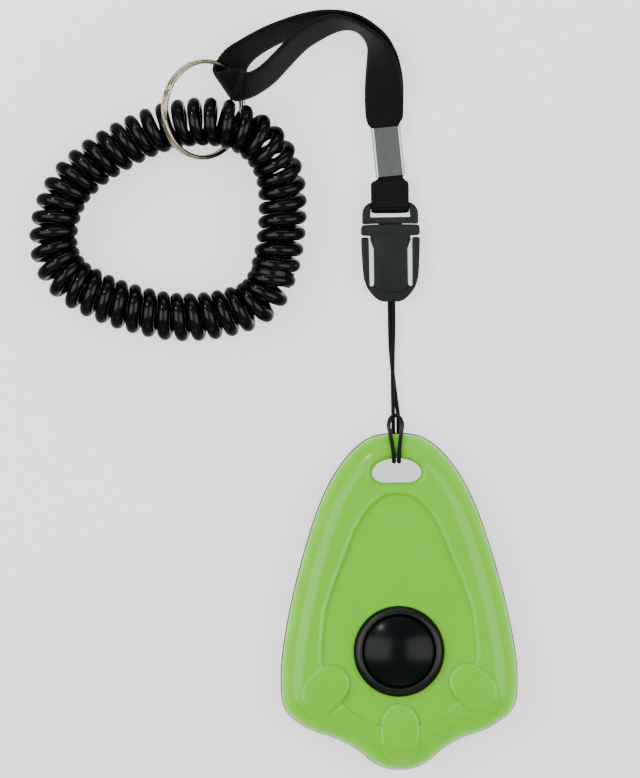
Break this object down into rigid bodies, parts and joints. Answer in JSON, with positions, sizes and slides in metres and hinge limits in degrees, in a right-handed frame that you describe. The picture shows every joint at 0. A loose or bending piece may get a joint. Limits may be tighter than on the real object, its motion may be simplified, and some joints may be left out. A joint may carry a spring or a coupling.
{
  "type": "clicker trainer",
  "caption": "Hand-held clicker with a domed push button in a paw-shaped case, on a quick-release lanyard with webbing, split ring and coiled wrist cord.",
  "frame": {"origin": "middle of the case's back, on the surface it lies on", "axes": "+Z out of the button side, +Y from the case towards the lanyard, +X to the right seen from the front"},
  "size_m": [0.1158, 0.1827, 0.018],
  "materials": {
    "case_green": "glossy moulded ABS",
    "case_black": "glossy moulded ABS",
    "collar_black": "glossy moulded plastic",
    "button_black": "polished moulded plastic",
    "spring_steel": "bare spring steel",
    "screw_steel": "zinc plated",
    "cord": "braided polyester cord",
    "buckle_plastic": "satin acetal",
    "prong_plastic": "satin acetal",
    "webbing": "ribbed polyester webbing",
    "crimp_steel": "brushed plated steel",
    "ring_nickel": "nickel plated steel",
    "coil_plastic": "glossy soft PVC coil"
  },
  "bodies": {
    "clicker": {"base_shell": "case_black", "cover_shell": "case_green", "button_collar": "collar_black", "case_screws": "screw_steel", "plate_root": "spring_steel", "plate_clamp": "screw_steel", "plate_screws": "screw_steel", "cord_loop": "cord", "cord_knot": "cord", "buckle_socket": "buckle_plastic"},
    "button": {"button_cap": "button_black"},
    "plate": {"click_plate": "spring_steel"},
    "arm_left": {"release_arm_left": "buckle_plastic"},
    "arm_right": {"release_arm_right": "buckle_plastic"},
    "strap": {"buckle_loop": "buckle_plastic", "latch_prong_left": "prong_plastic", "latch_prong_right": "prong_plastic", "strap_tab": "webbing", "strap_crimp": "crimp_steel", "strap_front": "webbing", "strap_rear": "webbing", "wrist_coil": "coil_plastic", "coil_joint": "coil_plastic"},
    "ring": {"split_ring": "ring_nickel"}
  },
  "joints": [
    {"name": "button_press", "type": "slide", "parent": "clicker", "child": "button", "axis": [0, 0, -1], "range_m": [0, 0.0016], "stiffness_N_per_m": 1500, "springref_m": -0.0004},
    {"name": "plate_snap", "type": "hinge", "parent": "clicker", "child": "plate", "pos_m": [0, 0.002, 0.00617], "axis": [1, 0, 0], "range_deg": [0, 7]},
    {"name": "arm_left_squeeze", "type": "hinge", "parent": "clicker", "child": "arm_left", "pos_m": [-0.0067, 0.0764, 0.0021], "axis": [0, 0, -1], "range_deg": [0, 5], "stiffness_Nm_per_rad": 0.05, "springref_deg": -0.57},
    {"name": "arm_right_squeeze", "type": "hinge", "parent": "clicker", "child": "arm_right", "pos_m": [0.0053, 0.0764, 0.0021], "axis": [0, 0, 1], "range_deg": [0, 5], "stiffness_Nm_per_rad": 0.05, "springref_deg": -0.57},
    {"name": "buckle_release", "type": "slide", "parent": "clicker", "child": "strap", "axis": [0, 1, 0], "range_m": [0, 0.014], "deforming": ["latch_prong_left", "latch_prong_right"]},
    {"name": "ring_turn", "type": "hinge", "parent": "strap", "child": "ring", "pos_m": [-0.0452, 0.1186, 0.0093], "axis": [0.596, -0.0838, 0.7986], "continuous": true}
  ],
  "couplings": [
    {"joint": "plate_snap", "follows": "button_press", "rad_per_m": 72.464}
  ]
}
